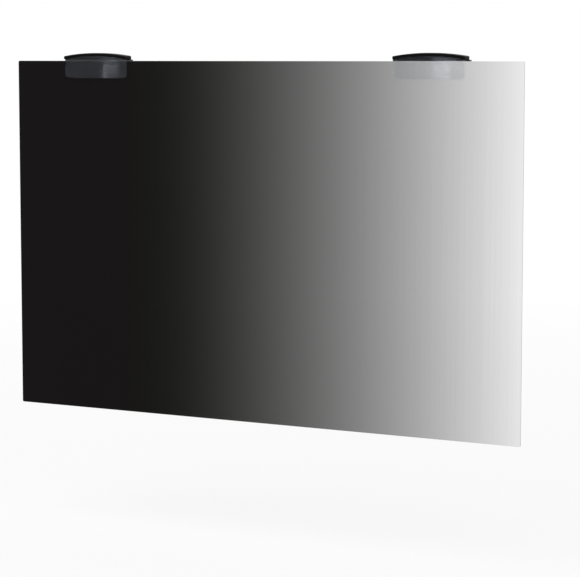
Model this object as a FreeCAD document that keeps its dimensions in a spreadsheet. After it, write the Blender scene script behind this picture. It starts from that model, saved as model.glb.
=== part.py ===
# Privacy filter: a dark louvred sheet that hangs from two magnetic tabs.
# Each tab is a clear apron taped to the front of the sheet and tucked into a black hook. The hook
# reaches back over the edge it hangs on, and its magnets hold a steel strip that is taped there.
# Frame: X along the width, Y to the back, Z up. The origin is midway between the tabs, on the
# rear face of the sheet, at the height of the surface that the strips are taped to.
import FreeCAD, Part
from itertools import permutations
import os
import Sketcher

MAGNETS_PER_HOOK = 3

# Driving dimensions, in millimetres
DIMENSIONS = {
    # the sheet
    "sheet_width": 533,
    "sheet_height": 336,
    "sheet_thick": 0.55,
    "sheet_corner": 1.5,
    "sheet_drop": 0.05,  # how far its top edge lies below the taped surface
    "tab_inset": 90.5,  # from each end of the sheet to the middle of a tab
    # the magnets and the walls of the hook around them
    "magnet_long": 18,
    "magnet_wide": 6,
    "magnet_thick": 2,
    "magnet_chamfer": 0.3,
    "magnet_play": 0.1,  # room on every side of a magnet in its pocket
    "magnet_rib": 3,  # wall between two pockets
    "hook_end": 5,  # wall beyond the outer pockets
    "hook_wall": 1.8,  # wall before and behind the pockets
    "hook_roof": 4.05,  # wall over the middle of the row of pockets
    # the arch of the hook and its front lip
    "hook_crown": 3.0,  # how much higher the middle is than the ends
    "hook_corner": 4.0,  # of its two back corners, seen from above
    "hook_round": 0.9,
    "lip_rise": 0.2,  # from the underside of the flange up to the ends of the lip's lower edge
    "lip_thick": 1.4,
    "lip_round": 0.3,
    # the apron
    "apron_drop": 16.5,  # how far it reaches below the top edge of the sheet
    "apron_thick": 1.0,  # at its ends and where it is tucked in
    "apron_bow": 0.8,  # how much thicker its middle is
    "apron_inset": 0.4,  # how much shorter it is than the hook at each end
    "apron_corner": 4.0,
    "apron_round": 0.7,
    "apron_gap": 0.2,  # between its bowed part and the lip
    "tongue_tuck": 1.5,  # how far its thin tongue goes up behind the lip
    "tongue_inset": 1.2,  # how much shorter the tongue is than the apron at each end
    "slot_play": 0.1,  # room on every side of the tongue
    # the adhesive between apron and sheet
    "apron_tape_thick": 0.3,
    "apron_tape_inset": 1.0,
    # the steel strip that the magnets hold, and its tape
    "strip_thick": 0.8,
    "strip_overhang": 2.0,  # how much longer it is than the hook at each end
    "strip_gap": 0.1,  # between the rear face of the sheet and the strip
    "strip_inset": 0.6,  # from the back of the hook
    "strip_corner": 3.0,
    "strip_tape_thick": 0.4,
    "strip_tape_inset": 0.1,
}

doc = FreeCAD.newDocument("privacy_filter")
dims = doc.addObject("Spreadsheet::Sheet", "dims")
for row, (alias, number) in enumerate(DIMENSIONS.items(), start=1):
    dims.set(f"A{row}", alias)
    dims.set(f"B{row}", str(number))
    dims.setAlias(f"B{row}", alias)
doc.recompute()

# Sizes and places worked out from the sheet, as expressions
# Across the sheet, from its middle
TAB_MIDDLE = "(dims.sheet_width / 2 - dims.tab_inset)"
# Across a tab, from its middle
MAGNET_PITCH = "(dims.magnet_long + 2 * dims.magnet_play + dims.magnet_rib)"
OUTER_MAGNET = f"({MAGNETS_PER_HOOK - 1} / 2 * {MAGNET_PITCH})"
POCKET_HALF = "(dims.magnet_long / 2 + dims.magnet_play)"
HOOK_HALF = f"({OUTER_MAGNET} + {POCKET_HALF} + dims.hook_end)"
APRON_HALF = f"({HOOK_HALF} - dims.apron_inset)"
TONGUE_HALF = f"({APRON_HALF} - dims.tongue_inset)"
SLOT_HALF = f"({TONGUE_HALF} + dims.slot_play)"
APRON_TAPE_HALF = f"({APRON_HALF} - dims.apron_tape_inset)"
STRIP_HALF = f"({HOOK_HALF} + dims.strip_overhang)"
STRIP_TAPE_HALF = f"({STRIP_HALF} - dims.strip_tape_inset)"
# From front to back
SHEET_FRONT = "(-dims.sheet_thick)"
APRON_BACK = f"({SHEET_FRONT} - dims.apron_tape_thick)"
APRON_FRONT = f"({APRON_BACK} - dims.apron_thick)"
SLOT_BACK = f"({APRON_BACK} + dims.slot_play)"
SLOT_FRONT = f"({APRON_FRONT} - dims.slot_play)"
LIP_FRONT = f"({SLOT_FRONT} - dims.lip_thick)"
MAGNET_FRONT = "(dims.hook_wall + dims.magnet_play)"
MAGNET_BACK = f"({MAGNET_FRONT} + dims.magnet_wide)"
POCKET_BACK = f"({MAGNET_BACK} + dims.magnet_play)"
HOOK_BACK = f"({POCKET_BACK} + dims.hook_wall)"
STRIP_FRONT = "dims.strip_gap"
STRIP_BACK = f"({HOOK_BACK} - dims.strip_inset)"
# Heights
SHEET_TOP = "(-dims.sheet_drop)"
SHEET_LOW = f"({SHEET_TOP} - dims.sheet_height)"
APRON_LOW = f"({SHEET_TOP} - dims.apron_drop)"
STRIP_LOW = "dims.strip_tape_thick"
SEAT = f"({STRIP_LOW} + dims.strip_thick)"
MAGNET_TOP = f"({SEAT} + dims.magnet_thick)"
POCKET_TOP = f"({MAGNET_TOP} + dims.magnet_play)"
CROWN_TOP = f"({POCKET_TOP} + dims.hook_roof)"
# The arch: its arcs are drawn about one centre, far below the tab
ARCH_RADIUS = f"(({HOOK_HALF} ^ 2 + dims.hook_crown ^ 2) / (2 * dims.hook_crown))"
ARCH_CENTRE = f"({CROWN_TOP} - {ARCH_RADIUS})"
LIP_END = f"({SEAT} + dims.lip_rise)"
LIP_RADIUS = f"sqrt({HOOK_HALF} ^ 2 + ({LIP_END} - {ARCH_CENTRE}) ^ 2)"
BOWED_RADIUS = f"({LIP_RADIUS} - dims.apron_gap)"
TONGUE_RADIUS = f"({LIP_RADIUS} + dims.tongue_tuck)"
SLOT_RADIUS = f"({TONGUE_RADIUS} + dims.slot_play)"
# The bow of the apron's front face, seen from above
BOW_RADIUS = f"(({APRON_HALF} ^ 2 + dims.apron_bow ^ 2) / (2 * dims.apron_bow))"
BOW_FRONT = f"({APRON_FRONT} - dims.apron_bow)"
BOW_CENTRE = f"({BOW_FRONT} + {BOW_RADIUS})"

# Numbers by which a sketch knows its own origin and the points of a curve
ORIGIN = (-1, 1)
START, END, CENTRE = range(1, 4)
# Two places closer than this are the same place, in millimetres
SAME = 0.001


def value(expression):
    """What an expression comes to with the sheet's present numbers."""
    return float(dims.evalExpression(expression))


def at(place, expression):
    """Whether a coordinate is the place that an expression gives."""
    return abs(place - value(expression)) < SAME


def new_body(label, across="0"):
    """A body named after its piece, with its middle at a place along the width."""
    body = doc.addObject("PartDesign::Body", label)
    body.Label = label
    body.setExpression("Placement.Base.x", across)
    return body


def new_sketch(body, name, role, offset):
    """A sketch on an origin plane of its body, moved along the plane's normal."""
    sketch = body.newObject("Sketcher::SketchObject", f"{body.Label}_{name}_outline")
    planes = [plane for plane in body.Origin.OriginFeatures if plane.Role == role]
    sketch.AttachmentSupport = [(planes[0], "")]
    sketch.MapMode = "FlatFace"
    sketch.setExpression("AttachmentOffset.Base.z", offset)
    return sketch


def plan_sketch(body, name, height):
    """A sketch seen from above, at a height: its axes are X and Y."""
    return new_sketch(body, name, "XY_Plane", height)


def front_sketch(body, name, depth):
    """A sketch seen from the front, at a place along Y: its axes are X and Z."""
    return new_sketch(body, name, "XZ_Plane", f"-{depth}")


def size(sketch, kind, places, expression):
    """Add a constraint whose size follows the sheet."""
    index = sketch.addConstraint(Sketcher.Constraint(kind, *places, value(expression)))
    sketch.setExpression(f"Constraints[{index}]", expression)


def close(sketch, joints, level=(), upright=()):
    """Make the ends of the curves meet, and say which lines lie level or stand upright."""
    for joint in joints:
        sketch.addConstraint(Sketcher.Constraint("Coincident", *joint))
    for line in level:
        sketch.addConstraint(Sketcher.Constraint("Horizontal", line))
    for line in upright:
        sketch.addConstraint(Sketcher.Constraint("Vertical", line))


def draw_rectangle(sketch, left, right, low, high):
    """A rectangle whose four sides lie at given places."""
    x0, x1, y0, y1 = (value(side) for side in (left, right, low, high))
    corners = [FreeCAD.Vector(*place) for place in ((x0, y0), (x1, y0), (x1, y1), (x0, y1))]
    for start, end in zip(corners, corners[1:] + corners[:1]):
        sketch.addGeometry(Part.LineSegment(start, end))
    joints = [(line, END, (line + 1) % len(corners), START) for line in range(len(corners))]
    close(sketch, joints, level=(0, 2), upright=(1, 3))
    size(sketch, "DistanceX", (*ORIGIN, 3, START), left)
    size(sketch, "DistanceX", (*ORIGIN, 1, START), right)
    size(sketch, "DistanceY", (*ORIGIN, 0, START), low)
    size(sketch, "DistanceY", (*ORIGIN, 2, START), high)


def draw_arc(sketch, half, radius, centre, bulge):
    """An arc about a point in line with the origin; bulge is 1 for upward and -1 for downward."""
    reach, length, height = value(half), value(radius), value(centre)
    rise = bulge * (length**2 - reach**2) ** 0.5
    first = FreeCAD.Vector(bulge * reach, height + rise)
    last = FreeCAD.Vector(-bulge * reach, height + rise)
    crown = FreeCAD.Vector(0, height + bulge * length)
    arc = sketch.addGeometry(Part.Arc(first, crown, last))
    sketch.addConstraint(Sketcher.Constraint("Vertical", *ORIGIN, arc, CENTRE))
    size(sketch, "DistanceY", (*ORIGIN, arc, CENTRE), centre)
    size(sketch, "Radius", (arc,), radius)
    return first, last


def draw_arch(sketch, half, radius, centre, base, bulge=1):
    """An arc, two upright ends and a straight side that lies at the base."""
    first, last = draw_arc(sketch, half, radius, centre, bulge)
    last_foot = FreeCAD.Vector(last.x, value(base))
    first_foot = FreeCAD.Vector(first.x, value(base))
    for start, end in ((last, last_foot), (last_foot, first_foot), (first_foot, first)):
        sketch.addGeometry(Part.LineSegment(start, end))
    joints = ((0, END, 1, START), (1, END, 2, START), (2, END, 3, START), (3, END, 0, START))
    close(sketch, joints, level=(2,), upright=(1, 3))
    size(sketch, "DistanceX", (*ORIGIN, 1, START), f"{-bulge} * {half}")
    size(sketch, "DistanceX", (*ORIGIN, 3, START), f"{bulge} * {half}")
    size(sketch, "DistanceY", (*ORIGIN, 2, START), base)


def draw_band(sketch, half, outer, inner):
    """The space between two arcs of the arch, with upright ends."""
    outer_right, outer_left = draw_arc(sketch, half, outer, ARCH_CENTRE, 1)
    inner_right, inner_left = draw_arc(sketch, half, inner, ARCH_CENTRE, 1)
    sketch.addGeometry(Part.LineSegment(outer_left, inner_left))
    sketch.addGeometry(Part.LineSegment(inner_right, outer_right))
    joints = ((0, END, 2, START), (2, END, 1, END), (1, START, 3, START), (3, END, 0, START))
    close(sketch, joints, upright=(2, 3))
    size(sketch, "DistanceX", (*ORIGIN, 2, START), f"-{half}")
    size(sketch, "DistanceX", (*ORIGIN, 3, START), half)


def pad(body, sketch, length):
    """Raise an outline along its plane's normal: upward from a plan, forward from a front."""
    feature = body.newObject("PartDesign::Pad", f"{sketch.Name}_pad")
    feature.Profile = sketch
    feature.setExpression("Length", length)
    doc.recompute()
    return feature


def pocket(body, sketch, depth):
    """Cut an outline against its plane's normal: downward from a plan, backward from a front."""
    solid = body.Tip.Shape.Volume
    feature = body.newObject("PartDesign::Pocket", f"{sketch.Name}_pocket")
    feature.Profile = sketch
    feature.setExpression("Length", depth)
    doc.recompute()
    if feature.Shape.Volume >= solid:
        raise RuntimeError(f"{feature.Label} cuts nothing")
    return feature


def flat(face, axis, expression):
    """Whether a face lies flat at a place along an axis."""
    box = face.BoundBox
    ends = (getattr(box, f"{axis}Min"), getattr(box, f"{axis}Max"))
    return all(at(end, expression) for end in ends)


def curved(face, radius):
    """Whether a face is part of a cylinder of a radius."""
    return isinstance(face.Surface, Part.Cylinder) and at(face.Surface.Radius, radius)


def edges_between(shape, one, other):
    """The names of the edges with one kind of face on one side and the other kind beyond."""
    names = []
    for number, edge in enumerate(shape.Edges, start=1):
        pairs = permutations(shape.ancestorsOfType(edge, Part.Face), 2)
        if any(one(near) and other(far) for near, far in pairs):
            names.append(f"Edge{number}")
    return names


def round_edges(body, name, radius, one, other):
    """Round each edge that has one kind of face on one side and the other kind beyond it."""
    base = body.Tip
    feature = body.newObject("PartDesign::Fillet", f"{body.Label}_{name}")
    feature.Base = (base, edges_between(base.Shape, one, other))
    feature.setExpression("Radius", radius)
    doc.recompute()


def make_sheet():
    """The sheet: one flat rectangle of louvred film."""
    body = new_body("filter_sheet")
    outline = front_sketch(body, "sheet", "0")
    draw_rectangle(outline, "-dims.sheet_width / 2", "dims.sheet_width / 2", SHEET_LOW, SHEET_TOP)
    pad(body, outline, "dims.sheet_thick")

    def rim(face):
        return not flat(face, "Y", "0") and not flat(face, "Y", SHEET_FRONT)

    round_edges(body, "corners", "dims.sheet_corner", rim, rim)


def make_hook(side, across):
    """The hook: a moulded arch with a flange that reaches back over the magnets and a front lip."""
    body = new_body(f"{side}_hook", across)
    flange = front_sketch(body, "flange", HOOK_BACK)
    draw_arch(flange, HOOK_HALF, ARCH_RADIUS, ARCH_CENTRE, SEAT)
    pad(body, flange, f"{HOOK_BACK} - {SLOT_BACK}")
    lip = front_sketch(body, "lip", SLOT_BACK)
    draw_band(lip, HOOK_HALF, ARCH_RADIUS, LIP_RADIUS)
    pad(body, lip, f"{SLOT_BACK} - {LIP_FRONT}")
    slot = front_sketch(body, "slot", SLOT_FRONT)
    draw_band(slot, SLOT_HALF, SLOT_RADIUS, BOWED_RADIUS)
    pocket(body, slot, f"{SLOT_BACK} - {SLOT_FRONT}")

    first = plan_sketch(body, "magnet", POCKET_TOP)
    left, right = f"-{OUTER_MAGNET} - {POCKET_HALF}", f"-{OUTER_MAGNET} + {POCKET_HALF}"
    draw_rectangle(first, left, right, "dims.hook_wall", POCKET_BACK)
    hole = pocket(body, first, f"{POCKET_TOP} - {SEAT}")
    row = body.newObject("PartDesign::LinearPattern", f"{side}_magnet_pockets")
    row.Originals = [hole]
    row.Direction = (first, ["H_Axis"])
    row.setExpression("Length", f"2 * {OUTER_MAGNET}")
    row.Occurrences = MAGNETS_PER_HOOK
    body.Tip = row
    doc.recompute()
    if row.Shape.Volume >= hole.Shape.Volume:
        raise RuntimeError(f"{row.Label} repeats nothing")

    def front(face):
        return flat(face, "Y", LIP_FRONT)

    def back(face):
        return flat(face, "Y", HOOK_BACK)

    def end(face):
        return flat(face, "X", HOOK_HALF) or flat(face, "X", f"-{HOOK_HALF}")

    def crown(face):
        return front(face) or curved(face, ARCH_RADIUS)

    def outside(face):
        return crown(face) or back(face) or end(face) or curved(face, "dims.hook_corner")

    round_edges(body, "back_corners", "dims.hook_corner", end, back)
    round_edges(body, "outer_edges", "dims.hook_round", crown, outside)
    round_edges(body, "lip_edge", "dims.lip_round", front, lambda face: curved(face, LIP_RADIUS))


def make_apron(side, across):
    """The apron: a clear plate, bowed in front, whose thin tongue is tucked up behind the lip."""
    body = new_body(f"{side}_apron", across)
    bow = plan_sketch(body, "bow", APRON_LOW)
    draw_arch(bow, APRON_HALF, BOW_RADIUS, BOW_CENTRE, APRON_BACK, bulge=-1)
    pad(body, bow, f"{ARCH_CENTRE} + {LIP_RADIUS} - {APRON_LOW}")
    above = front_sketch(body, "arch", BOW_FRONT)
    draw_arch(above, HOOK_HALF, BOWED_RADIUS, ARCH_CENTRE, CROWN_TOP)
    pocket(body, above, f"{APRON_BACK} - {BOW_FRONT}")
    tongue = front_sketch(body, "tongue", APRON_BACK)
    draw_band(tongue, TONGUE_HALF, TONGUE_RADIUS, BOWED_RADIUS)
    pad(body, tongue, "dims.apron_thick")

    def end(face):
        return flat(face, "X", APRON_HALF) or flat(face, "X", f"-{APRON_HALF}")

    round_edges(body, "corners", "dims.apron_corner", end, lambda face: flat(face, "Z", APRON_LOW))
    round_edges(
        body,
        "front_edge",
        "dims.apron_round",
        lambda face: curved(face, BOW_RADIUS),
        lambda face: not curved(face, BOWED_RADIUS),
    )


def make_apron_tape(side, across):
    """The clear adhesive that holds the apron on the front of the sheet."""
    body = new_body(f"{side}_apron_tape", across)
    outline = front_sketch(body, "tape", SHEET_FRONT)
    low, high = f"{APRON_LOW} + dims.apron_tape_inset", f"{SHEET_TOP} - dims.apron_tape_inset"
    draw_rectangle(outline, f"-{APRON_TAPE_HALF}", APRON_TAPE_HALF, low, high)
    pad(body, outline, "dims.apron_tape_thick")

    def rim(face):
        return not flat(face, "Y", SHEET_FRONT) and not flat(face, "Y", APRON_BACK)

    round_edges(body, "corners", "dims.apron_corner - dims.apron_tape_inset", rim, rim)


def make_magnet(side, across, number):
    """One block magnet, its lower face level with the underside of the hook."""
    steps = number - (MAGNETS_PER_HOOK + 1) / 2
    body = new_body(f"{side}_magnet_{number}", f"{across} + {steps} * {MAGNET_PITCH}")
    outline = plan_sketch(body, "block", SEAT)
    half = "dims.magnet_long / 2"
    draw_rectangle(outline, f"-{half}", half, MAGNET_FRONT, MAGNET_BACK)
    block = pad(body, outline, "dims.magnet_thick")
    bevel = body.newObject("PartDesign::Chamfer", f"{body.Label}_bevel")
    bevel.Base = (block, [f"Edge{edge}" for edge in range(1, len(block.Shape.Edges) + 1)])
    bevel.setExpression("Size", "dims.magnet_chamfer")


def make_level_plate(label, across, half, front, back, low, high, corner):
    """A level plate with round corners: a strip or its tape."""
    body = new_body(label, across)
    outline = plan_sketch(body, "plate", low)
    draw_rectangle(outline, f"-{half}", half, front, back)
    pad(body, outline, f"{high} - {low}")

    def rim(face):
        return not flat(face, "Z", low) and not flat(face, "Z", high)

    round_edges(body, "corners", corner, rim, rim)


def make_strip(side, across):
    """The steel strip that the magnets hold."""
    ends = (STRIP_HALF, STRIP_FRONT, STRIP_BACK, STRIP_LOW, SEAT)
    make_level_plate(f"{side}_strip", across, *ends, "dims.strip_corner")


def make_strip_tape(side, across):
    """The foam tape under the strip, whose lower face is the one that is stuck down."""
    front = f"({STRIP_FRONT} + dims.strip_tape_inset)"
    back = f"({STRIP_BACK} - dims.strip_tape_inset)"
    corner = "dims.strip_corner - dims.strip_tape_inset"
    ends = (STRIP_TAPE_HALF, front, back, "0", STRIP_LOW)
    make_level_plate(f"{side}_strip_tape", across, *ends, corner)


make_sheet()
for side, sign in (("left", -1), ("right", 1)):
    tab_middle = f"{sign} * {TAB_MIDDLE}"
    make_hook(side, tab_middle)
    make_apron(side, tab_middle)
    make_apron_tape(side, tab_middle)
    for number in range(1, MAGNETS_PER_HOOK + 1):
        make_magnet(side, tab_middle, number)
    make_strip(side, tab_middle)
    make_strip_tape(side, tab_middle)
doc.recompute()

for thing in doc.Objects:
    if {"Invalid", "Error"} & set(thing.State):
        raise RuntimeError(f"{thing.Label} failed to build")
os.makedirs("parts", exist_ok=True)
for body in doc.findObjects("PartDesign::Body"):
    if body.Shape.isNull() or not body.Shape.isValid():
        raise RuntimeError(f"{body.Label} is not a sound solid")
    body.Shape.exportStep(f"parts/{body.Label}.step")
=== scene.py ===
from math import radians

import bmesh
import bpy
from mathutils import Matrix, Vector


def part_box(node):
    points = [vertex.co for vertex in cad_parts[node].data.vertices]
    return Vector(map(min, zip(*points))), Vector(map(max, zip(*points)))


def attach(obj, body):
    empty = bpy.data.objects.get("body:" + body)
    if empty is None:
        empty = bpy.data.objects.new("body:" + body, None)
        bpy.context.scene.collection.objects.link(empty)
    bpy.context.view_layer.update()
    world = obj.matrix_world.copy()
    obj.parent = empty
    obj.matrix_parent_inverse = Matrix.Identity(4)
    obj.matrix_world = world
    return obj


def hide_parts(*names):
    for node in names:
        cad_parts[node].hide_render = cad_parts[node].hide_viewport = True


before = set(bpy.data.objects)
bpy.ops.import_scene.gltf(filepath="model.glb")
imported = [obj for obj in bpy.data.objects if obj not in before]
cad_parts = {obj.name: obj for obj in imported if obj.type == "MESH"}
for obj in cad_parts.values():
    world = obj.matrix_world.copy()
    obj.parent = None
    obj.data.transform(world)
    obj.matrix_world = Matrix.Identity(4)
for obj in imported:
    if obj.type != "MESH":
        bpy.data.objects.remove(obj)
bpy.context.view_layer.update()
bpy.context.scene.view_settings.view_transform = "Standard"

# Filter sheet: a laminate of clear film with upright microscopic louvres inside it. It is
# die-cut from a wide roll, so its layers show along the bare cut edge. Seen from this side
# the louvres close to black at the left and open, first to olive, towards the right.
SHEET_LOW, SHEET_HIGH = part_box("filter_sheet")
FADE_START = -0.153  # metres along X: black up to here
OLIVE_FROM = -0.103
FADE_CURVE = 1.32
CLEAREST = 0.904  # share of light that each face lets through at the right end
STREAKS = 0.01  # how much more or less some louvres let through
LOUVRE_STRETCH = (900.0, 1.0, 2.5)  # fine across, long up and down
LOUVRE_SPREAD = (0.3, 0.7)
EDGE_TURN = (0.4, 0.6)  # how much of a normal still points forward at the cut edge
EDGE_SHADE = 0.9
CORE_HALF, GLUE_LINE = 0.00015, 0.00003  # half the louvred layer, and the glue beside it
FILM_BLACKS = (0.0038, 0.0026, 0.0031), (0.0045, 0.0034, 0.0039)
FILM_OLIVE = (0.0055, 0.0062, 0.0040)
SKIN_GREY = (0.09, 0.092, 0.095)
FILM_SMUDGES = 9.0  # to the metre
FILM_ROUGHNESS = (0.46, 0.58)  # clean and greasy
FILM_GRAIN = 2200.0
FILM_GLOSS = 0.06
SMUDGE_STRETCH = (1.0, 1.0, 0.6)
WIPE_STRETCH = (40.0, 40.0, 260.0)  # wiped from side to side
MARK_SPREAD = (0.15, 0.42)
AS_IT_IS = (1.0, 1.0, 1.0)


def new_finish(name):
    """A fresh material, with its node tree and its Principled shader."""
    material = bpy.data.materials.new(name)
    material.use_nodes = True
    tree = material.node_tree
    return material, tree, tree.nodes["Principled BSDF"]


def feed(tree, socket, value):
    """Sets a socket to a value, or joins an output to it."""
    if isinstance(value, bpy.types.NodeSocket):
        tree.links.new(value, socket)
    else:
        socket.default_value = value


def add(tree, kind, settings=None, **sockets):
    """Adds a node; settings are its own properties, sockets its plain values or links."""
    node = tree.nodes.new(kind)
    for key, value in (settings or {}).items():
        setattr(node, key, value)
    for key, value in sockets.items():
        feed(tree, node.inputs[key.replace("_", " ")], value)
    return node


def reckon(tree, operation, *values):
    """One step of arithmetic on masks and numbers."""
    node = add(tree, "ShaderNodeMath", {"operation": operation})
    for socket, value in zip(node.inputs, values):
        feed(tree, socket, value)
    return node.outputs["Value"]


def stretched(tree, scale):
    """The piece's own coordinates in metres, stretched along each axis."""
    place = add(tree, "ShaderNodeTexCoord")
    mapping = add(tree, "ShaderNodeMapping", Vector=place.outputs["Object"], Scale=scale)
    return mapping.outputs["Vector"]


def ranged(tree, value, low, high, from_low=0.0, from_high=1.0):
    """Takes a value from one range to another and keeps it inside."""
    node = add(tree, "ShaderNodeMapRange", Value=value, From_Min=from_low, From_Max=from_high,
               To_Min=low, To_Max=high)
    return node.outputs["Result"]


def tinted(tree, mask, dark, light):
    """A colour that runs from dark to light with a mask; dark may be a joined colour."""
    node = add(tree, "ShaderNodeMix", {"data_type": "RGBA"}, Factor=mask)
    for socket in node.inputs:
        if socket.type == "RGBA":
            colour = dark if socket.name == "A" else light
            is_joined = isinstance(colour, bpy.types.NodeSocket)
            feed(tree, socket, colour if is_joined else (*colour, 1.0))
    return next(socket for socket in node.outputs if socket.type == "RGBA")


def noise(tree, vector, scale, detail=2.0, rough=0.5):
    """A cloudy mask around 0.5."""
    node = add(tree, "ShaderNodeTexNoise", Vector=vector, Scale=scale, Detail=detail,
               Roughness=rough)
    return node.outputs["Fac"]


def raised(tree, shader, height, strength, depth):
    """Raises a pattern on a shader's surface, to a depth in metres."""
    bump = add(tree, "ShaderNodeBump", Height=height, Strength=strength, Distance=depth)
    feed(tree, shader.inputs["Normal"], bump.outputs["Normal"])


def finish_nodes(material, *names):
    """Gives CAD nodes their finished material."""
    for name in names:
        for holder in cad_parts[name].material_slots:
            holder.material = material


def handling_marks_group():
    """Faint smudges and wiping marks: a mask that is 0 on clean places and 1 on greasy ones."""
    group = bpy.data.node_groups.new("handling marks", "ShaderNodeTree")
    group.interface.new_socket("Smudge Scale", in_out="INPUT", socket_type="NodeSocketFloat")
    group.interface.new_socket("Mask", in_out="OUTPUT", socket_type="NodeSocketFloat")
    given = add(group, "NodeGroupInput")
    result = add(group, "NodeGroupOutput")
    smudges = noise(group, stretched(group, SMUDGE_STRETCH), given.outputs["Smudge Scale"],
                    detail=3.0)
    wipes = noise(group, stretched(group, WIPE_STRETCH), 1.0, detail=4.0)
    both = reckon(group, "MULTIPLY", smudges, wipes)
    feed(group, result.inputs["Mask"], ranged(group, both, 0.0, 1.0, *MARK_SPREAD))
    return group


handling_marks = handling_marks_group()


def marks(tree, scale):
    """Places the handling marks in a material, so many smudges to the metre."""
    node = add(tree, "ShaderNodeGroup", {"node_tree": handling_marks})
    node.inputs["Smudge Scale"].default_value = scale
    return node.outputs["Mask"]


film, tree, shader = new_finish("louvre film")
place = add(tree, "ShaderNodeSeparateXYZ", Vector=stretched(tree, AS_IT_IS))
across = ranged(tree, place.outputs["X"], 0.0, 1.0, FADE_START, SHEET_HIGH.x)
louvres = noise(tree, stretched(tree, LOUVRE_STRETCH), 1.0, detail=3.0)
let_through = ranged(tree, louvres, (1.0 - STREAKS) * CLEAREST, (1.0 + STREAKS) * CLEAREST,
                     *LOUVRE_SPREAD)
clear = reckon(tree, "MULTIPLY", reckon(tree, "POWER", across, FADE_CURVE), let_through)
facing = add(tree, "ShaderNodeSeparateXYZ",
             Vector=add(tree, "ShaderNodeTexCoord").outputs["Normal"])
forward = reckon(tree, "ABSOLUTE", facing.outputs["Y"])
cut_edge = ranged(tree, forward, 1.0, 0.0, *EDGE_TURN)
feed(tree, shader.inputs["Alpha"],
     reckon(tree, "MAXIMUM", reckon(tree, "SUBTRACT", 1.0, clear),
            reckon(tree, "MULTIPLY", cut_edge, EDGE_SHADE)))
first_opening = ranged(tree, place.outputs["X"], 0.0, 1.0, FADE_START, OLIVE_FROM)
film_dark = tinted(tree, first_opening, tinted(tree, louvres, *FILM_BLACKS), FILM_OLIVE)
depth = reckon(tree, "SUBTRACT", place.outputs["Y"], (SHEET_LOW.y + SHEET_HIGH.y) / 2)
beyond_core = ranged(tree, reckon(tree, "ABSOLUTE", depth), 0.0, 1.0,
                     CORE_HALF, CORE_HALF + GLUE_LINE)
skins = reckon(tree, "MULTIPLY", beyond_core, cut_edge)
feed(tree, shader.inputs["Base Color"], tinted(tree, skins, film_dark, SKIN_GREY))
feed(tree, shader.inputs["Roughness"], ranged(tree, marks(tree, FILM_SMUDGES), *FILM_ROUGHNESS))
shader.inputs["Specular IOR Level"].default_value = FILM_GLOSS
film_grain = noise(tree, stretched(tree, AS_IT_IS), FILM_GRAIN)
raised(tree, shader, film_grain, strength=0.08, depth=0.0002)
finish_nodes(film, "filter_sheet")

# Apron tapes: a clear double-sided adhesive, punched a little smaller than the aprons and
# pressed between each apron and the sheet's front, with a few specks of trapped air. A hair
# of air keeps its faces off theirs.
SIDES = ("left", "right")
TAPE_AIR = 0.00002
TAPE_CORNER = 0.003
CORNER_STEPS = 10
GLUE_TINTS = (0.02, 0.02, 0.022), (0.05, 0.05, 0.055)
GLUE_HAZE = 120.0
BUBBLE_STRETCH = (1.0, 0.0, 1.0)  # each speck goes right through the tape
BUBBLES = 260.0  # to the metre
BUBBLE_RIM = (0.05, 0.11)
GLUE_SHADE, BUBBLE_SHADE = 0.045, 0.18

tape_low, tape_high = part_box("left_apron_tape")
bpy.ops.object.select_all(action="DESELECT")
bpy.ops.mesh.primitive_cube_add(size=1.0, location=(tape_low + tape_high) / 2)
left_tape = bpy.context.object
left_tape.name = "left_clear_tape"
left_tape.scale = tape_high - tape_low - Vector((0.0, 2.0 * TAPE_AIR, 0.0))
bpy.ops.object.transform_apply(location=True, rotation=True, scale=True)
bpy.ops.object.mode_set(mode="EDIT")
bpy.ops.mesh.select_mode(type="EDGE")
bpy.ops.mesh.select_all(action="DESELECT")
outline = bmesh.from_edit_mesh(left_tape.data)
for edge in outline.edges:
    along = edge.verts[0].co - edge.verts[1].co
    edge.select_set(abs(along.y) > max(abs(along.x), abs(along.z)))
bmesh.update_edit_mesh(left_tape.data)
bpy.ops.mesh.bevel(offset=TAPE_CORNER, segments=CORNER_STEPS, affect="EDGES")
bpy.ops.object.mode_set(mode="OBJECT")
bpy.ops.object.shade_smooth_by_angle(angle=radians(30.0))
right_tape = left_tape.copy()
right_tape.name = "right_clear_tape"
right_tape.data = left_tape.data.copy()
right_tape.data.transform(Matrix.Translation(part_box("right_apron_tape")[0] - tape_low))
bpy.context.scene.collection.objects.link(right_tape)

clear_glue, tree, shader = new_finish("clear adhesive")
haze = noise(tree, stretched(tree, AS_IT_IS), GLUE_HAZE)
feed(tree, shader.inputs["Base Color"], tinted(tree, haze, *GLUE_TINTS))
trapped_air = add(tree, "ShaderNodeTexVoronoi", Vector=stretched(tree, BUBBLE_STRETCH),
                  Scale=BUBBLES)
bubbles = ranged(tree, trapped_air.outputs["Distance"], 1.0, 0.0, *BUBBLE_RIM)
feed(tree, shader.inputs["Alpha"], ranged(tree, bubbles, GLUE_SHADE, BUBBLE_SHADE))
shader.inputs["Specular IOR Level"].default_value = 0.0
shader.inputs["Roughness"].default_value = 0.6
for side, tape in zip(SIDES, (left_tape, right_tape)):
    tape.data.materials.append(clear_glue)
    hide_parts(f"{side}_apron_tape")
    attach(tape, "root")

# Aprons: clear polycarbonate plates with a blue cast, moulded with a slight bow and polished
# on the front. Each hangs in front of the sheet's top edge, and its tongue is glued in the
# hook's slot.
CLEAR_TINTS = (0.88, 0.90, 0.92), (0.95, 0.96, 0.97)
CLEAR_BENDING = 1.23  # refractive index, kept low so that the room reflects only faintly
GLOSS_TINT = (0.80, 0.87, 1.0)
FLOW_STRETCH = (30.0, 30.0, 90.0)  # how the plastic flowed in the mould
APRON_SMUDGES = 60.0
APRON_ROUGHNESS = (0.05, 0.14)

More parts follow.
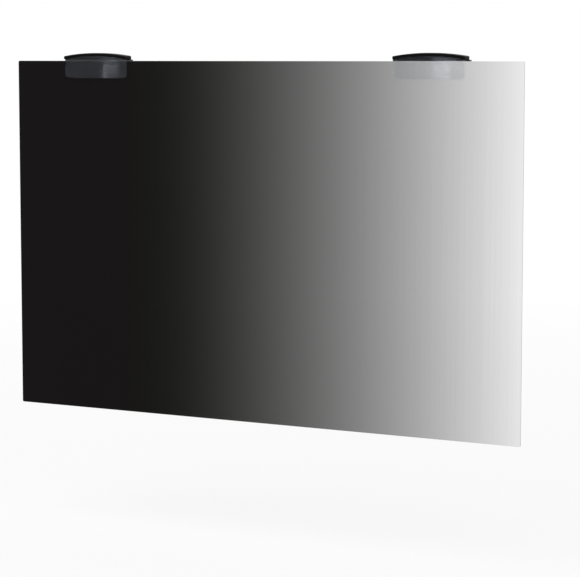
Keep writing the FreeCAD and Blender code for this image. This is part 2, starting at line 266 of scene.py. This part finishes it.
clear_plastic, tree, shader = new_finish("clear moulded plastic")
shader.inputs["Transmission Weight"].default_value = 1.0
shader.inputs["IOR"].default_value = CLEAR_BENDING
shader.inputs["Specular Tint"].default_value = (*GLOSS_TINT, 1.0)
flow = noise(tree, stretched(tree, FLOW_STRETCH), 1.0)
feed(tree, shader.inputs["Base Color"], tinted(tree, flow, *CLEAR_TINTS))
feed(tree, shader.inputs["Roughness"], ranged(tree, marks(tree, APRON_SMUDGES), *APRON_ROUGHNESS))
raised(tree, shader, flow, strength=0.15, depth=0.0003)
finish_nodes(clear_plastic, *(f"{side}_apron" for side in SIDES))

# Hooks: black ABS, moulded as one arched bar with three magnet pockets underneath and a
# slot for the apron. The mould is spark-eroded, so the skin has a fine even grain.
HOOK_BLACKS = (0.0018, 0.0017, 0.0018), (0.0038, 0.0036, 0.0038)
HOOK_GRAIN = 1600.0  # pebbles to the metre
HOOK_SMUDGES = 45.0
HOOK_ROUGHNESS = (0.52, 0.38)
HOOK_GLOSS = 0.05
GRAIN_SPREAD = (0.4, 1.4)


def moulded_grain_group():
    """The fine pebbled skin of a spark-eroded mould or a powder coat: a bump height."""
    group = bpy.data.node_groups.new("moulded grain", "ShaderNodeTree")
    group.interface.new_socket("Grain Scale", in_out="INPUT", socket_type="NodeSocketFloat")
    group.interface.new_socket("Height", in_out="OUTPUT", socket_type="NodeSocketFloat")
    given = add(group, "NodeGroupInput")
    result = add(group, "NodeGroupOutput")
    place = stretched(group, AS_IT_IS)
    pebbles = add(group, "ShaderNodeTexVoronoi", {"feature": "SMOOTH_F1"}, Vector=place,
                  Scale=given.outputs["Grain Scale"])
    dust = noise(group, place, given.outputs["Grain Scale"], detail=3.0)
    height = reckon(group, "ADD", pebbles.outputs["Distance"], dust)
    feed(group, result.inputs["Height"], height)
    return group


moulded_grain = moulded_grain_group()


def grained(tree, shader, scale, strength, blacks):
    """Gives a shader the moulded grain, with a colour that changes with its height."""
    node = add(tree, "ShaderNodeGroup", {"node_tree": moulded_grain})
    node.inputs["Grain Scale"].default_value = scale
    height = node.outputs["Height"]
    raised(tree, shader, height, strength, depth=0.0001)
    feed(tree, shader.inputs["Base Color"],
         tinted(tree, ranged(tree, height, 0.0, 1.0, *GRAIN_SPREAD), *blacks))


black_plastic, tree, shader = new_finish("black moulded plastic")
grained(tree, shader, HOOK_GRAIN, strength=0.25, blacks=HOOK_BLACKS)
feed(tree, shader.inputs["Roughness"], ranged(tree, marks(tree, HOOK_SMUDGES), *HOOK_ROUGHNESS))
shader.inputs["Specular IOR Level"].default_value = HOOK_GLOSS
finish_nodes(black_plastic, *(f"{side}_hook" for side in SIDES))

# Magnets: sintered blocks, tumbled and then plated with nickel. Three are glued in the
# pockets of each hook, level with its underside.
NICKELS = (0.46, 0.44, 0.40), (0.62, 0.60, 0.56)
TUMBLING = 900.0
NICKEL_ROUGHNESS = (0.22, 0.42)
NICKEL_SPREAD = (0.3, 0.7)

nickel, tree, shader = new_finish("nickel plating")
shader.inputs["Metallic"].default_value = 1.0
tumbled = noise(tree, stretched(tree, AS_IT_IS), TUMBLING, detail=5.0, rough=0.65)
feed(tree, shader.inputs["Base Color"], tinted(tree, tumbled, *NICKELS))
feed(tree, shader.inputs["Roughness"], ranged(tree, tumbled, *NICKEL_ROUGHNESS, *NICKEL_SPREAD))
raised(tree, shader, tumbled, strength=0.2, depth=0.00005)
finish_nodes(nickel, *(f"{side}_magnet_{number}" for side in SIDES for number in (1, 2, 3)))

# Keeper strips: punched from mild steel and given a thin black powder coat. The magnets
# hold them, and they reach a little past each hook.
STRIP_BLACKS = (0.004, 0.004, 0.0043), (0.0075, 0.0075, 0.0078)
STRIP_GRAIN = 700.0
STRIP_SMUDGES = 70.0
STRIP_ROUGHNESS = (0.36, 0.5)
STRIP_GLOSS = 0.12

black_steel, tree, shader = new_finish("black coated steel")
grained(tree, shader, STRIP_GRAIN, strength=0.3, blacks=STRIP_BLACKS)
feed(tree, shader.inputs["Roughness"], ranged(tree, marks(tree, STRIP_SMUDGES), *STRIP_ROUGHNESS))
shader.inputs["Specular IOR Level"].default_value = STRIP_GLOSS
finish_nodes(black_steel, *(f"{side}_strip" for side in SIDES))

# Strip tapes: thin black foam with glue on both faces, cut a hair smaller than the strips
# and stuck under them. Their cut edges show the cells of the foam.
FOAM_BLACKS = (0.004, 0.004, 0.004), (0.012, 0.012, 0.0125)
FOAM_CELLS = 2600.0  # to the metre
FOAM_ROUGHNESS = (0.95, 0.75)
FOAM_GLOSS = 0.08

foam, tree, shader = new_finish("foam tape")
froth = add(tree, "ShaderNodeTexVoronoi", Vector=stretched(tree, AS_IT_IS), Scale=FOAM_CELLS)
cells = froth.outputs["Distance"]
feed(tree, shader.inputs["Base Color"], tinted(tree, cells, *FOAM_BLACKS))
feed(tree, shader.inputs["Roughness"], ranged(tree, cells, *FOAM_ROUGHNESS))
shader.inputs["Specular IOR Level"].default_value = FOAM_GLOSS
raised(tree, shader, cells, strength=0.6, depth=0.0001)
finish_nodes(foam, *(f"{side}_strip_tape" for side in SIDES))

# Floor and room: a plain pale floor under the hanging sheet and an even white room. The
# floor keeps a faint shadow near the sheet and melts into the room further out.
FLOOR_BELOW = 0.45
FLOOR_SIZE = 60.0
FLOOR_GREY = (0.9, 0.9, 0.9)
FLOOR_GLOW = 0.85
FLOOR_FADE = (0.6, 2.2)
ROOM_WHITE = (1.0, 1.0, 1.0)
ROOM_LIGHT = 0.6


def seen_directly(tree):
    """1 for what the eye, a gloss or clear plastic sees, 0 for what only lights."""
    path = add(tree, "ShaderNodeLightPath")
    seen = reckon(tree, "MAXIMUM", path.outputs["Is Camera Ray"], path.outputs["Is Glossy Ray"])
    return reckon(tree, "MAXIMUM", seen, path.outputs["Is Transmission Ray"])


room = bpy.data.worlds.new("white room")
bpy.context.scene.world = room
room.use_nodes = True
tree = room.node_tree
background = tree.nodes["Background"]
background.inputs["Color"].default_value = (*ROOM_WHITE, 1.0)
feed(tree, background.inputs["Strength"], ranged(tree, seen_directly(tree), ROOM_LIGHT, 1.0))

bpy.ops.object.select_all(action="DESELECT")
bpy.ops.mesh.primitive_plane_add(size=FLOOR_SIZE, location=(0.0, 0.0, -FLOOR_BELOW))
floor = bpy.context.object
floor.name = "floor"
pale, tree, shader = new_finish("pale floor")
shader.inputs["Base Color"].default_value = (*FLOOR_GREY, 1.0)
shader.inputs["Roughness"].default_value = 0.9
shader.inputs["Specular IOR Level"].default_value = 0.0
glow = add(tree, "ShaderNodeEmission", Strength=1.0)
reach = add(tree, "ShaderNodeVectorMath", {"operation": "LENGTH"})
feed(tree, reach.inputs[0], stretched(tree, AS_IT_IS))
far_out = ranged(tree, reach.outputs["Value"], FLOOR_GLOW, 1.0, *FLOOR_FADE)
blend = add(tree, "ShaderNodeMixShader",
            Fac=reckon(tree, "MULTIPLY", seen_directly(tree), far_out))
feed(tree, blend.inputs[1], shader.outputs["BSDF"])
feed(tree, blend.inputs[2], glow.outputs["Emission"])
feed(tree, tree.nodes["Material Output"].inputs["Surface"], blend.outputs["Shader"])
floor.data.materials.append(pale)

# Lamps: one broad soft lamp above, a fill from the right, and a small one for each apron
# that draws a soft patch of light on its glossy front.
MIDDLE = (0.0, 0.0, -0.17)
TAB_MIDDLE = (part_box("right_apron")[0].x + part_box("right_apron")[1].x) / 2
TAB_HEIGHT = -0.008  # about the middle of an apron's front
PATCH_SIZE = (0.085, 0.036)
LEFT_PATCH_WATTS, RIGHT_PATCH_WATTS = 0.085, 0.16


def soft_lamp(name, place, target, size, watts):
    """An area lamp of a size in metres, aimed at a point."""
    data = bpy.data.lights.new(name, "AREA")
    data.shape = "RECTANGLE"
    data.size, data.size_y = size
    data.energy = watts
    lamp = bpy.data.objects.new(name, data)
    bpy.context.scene.collection.objects.link(lamp)
    lamp.location = place
    lamp.rotation_euler = (Vector(target) - Vector(place)).to_track_quat("-Z", "Y").to_euler()


soft_lamp("top lamp", place=(-0.7, -1.2, 1.9), target=MIDDLE, size=(1.6, 1.6), watts=22.0)
soft_lamp("fill lamp", place=(1.9, -1.4, 0.6), target=MIDDLE, size=(1.2, 1.2), watts=8.0)
soft_lamp("left patch", place=(-0.923, -1.279, -0.017), target=(-TAB_MIDDLE, 0.0, TAB_HEIGHT),
          size=PATCH_SIZE, watts=LEFT_PATCH_WATTS)
soft_lamp("right patch", place=(-0.406, -1.389, -0.017), target=(TAB_MIDDLE, 0.0, TAB_HEIGHT),
          size=PATCH_SIZE, watts=RIGHT_PATCH_WATTS)

# Camera: level with the sheet's top edge, well to the right, looking slightly down.
# The lens is long, so the sheet narrows only a little towards its far end.
EYE = (1.012, -1.770, 0.00495)
LOOKS_DOWN, LOOKS_LEFT = 6.02, 28.88
LENS, SENSOR = 137.1, 36.0

eye = bpy.data.cameras.new("camera")
eye.sensor_fit = "HORIZONTAL"
eye.sensor_width = SENSOR
eye.lens = LENS
camera = bpy.data.objects.new("camera", eye)
bpy.context.scene.collection.objects.link(camera)
camera.location = EYE
camera.rotation_euler = (radians(90.0 - LOOKS_DOWN), 0.0, radians(LOOKS_LEFT))
bpy.context.scene.camera = camera
